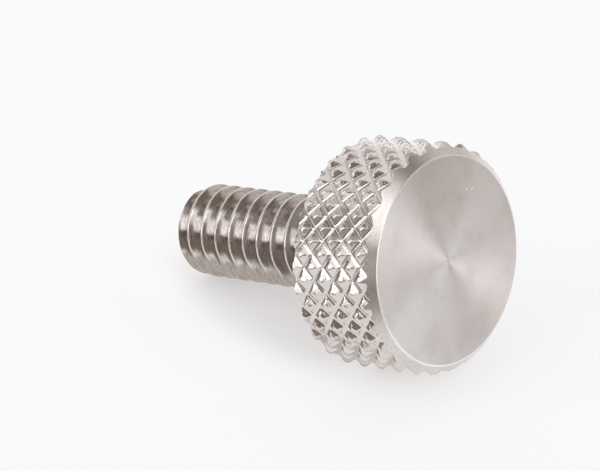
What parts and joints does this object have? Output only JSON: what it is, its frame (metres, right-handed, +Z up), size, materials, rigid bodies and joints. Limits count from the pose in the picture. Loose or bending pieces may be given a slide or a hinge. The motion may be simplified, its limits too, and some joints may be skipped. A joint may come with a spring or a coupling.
{
  "type": "thumb screw",
  "caption": "One-piece turned thumb screw: diamond-knurled cylindrical head with a bevelled flat face, on a short shank with a coarse right-hand thread.",
  "frame": {"origin": "centre of the box's bottom face, on the table that the screw lies on", "axes": "+Z up from the table; +X runs from the end of the thread to the head, so the turning axis lies in the XZ plane and rises 16.4 degrees towards the head"},
  "size_m": [0.0232, 0.0148, 0.0157],
  "materials": {
    "stainless": "turned stainless steel, bright, with fine tool marks"
  },
  "bodies": {
    "root": {"thumb_screw": "stainless"}
  },
  "joints": []
}
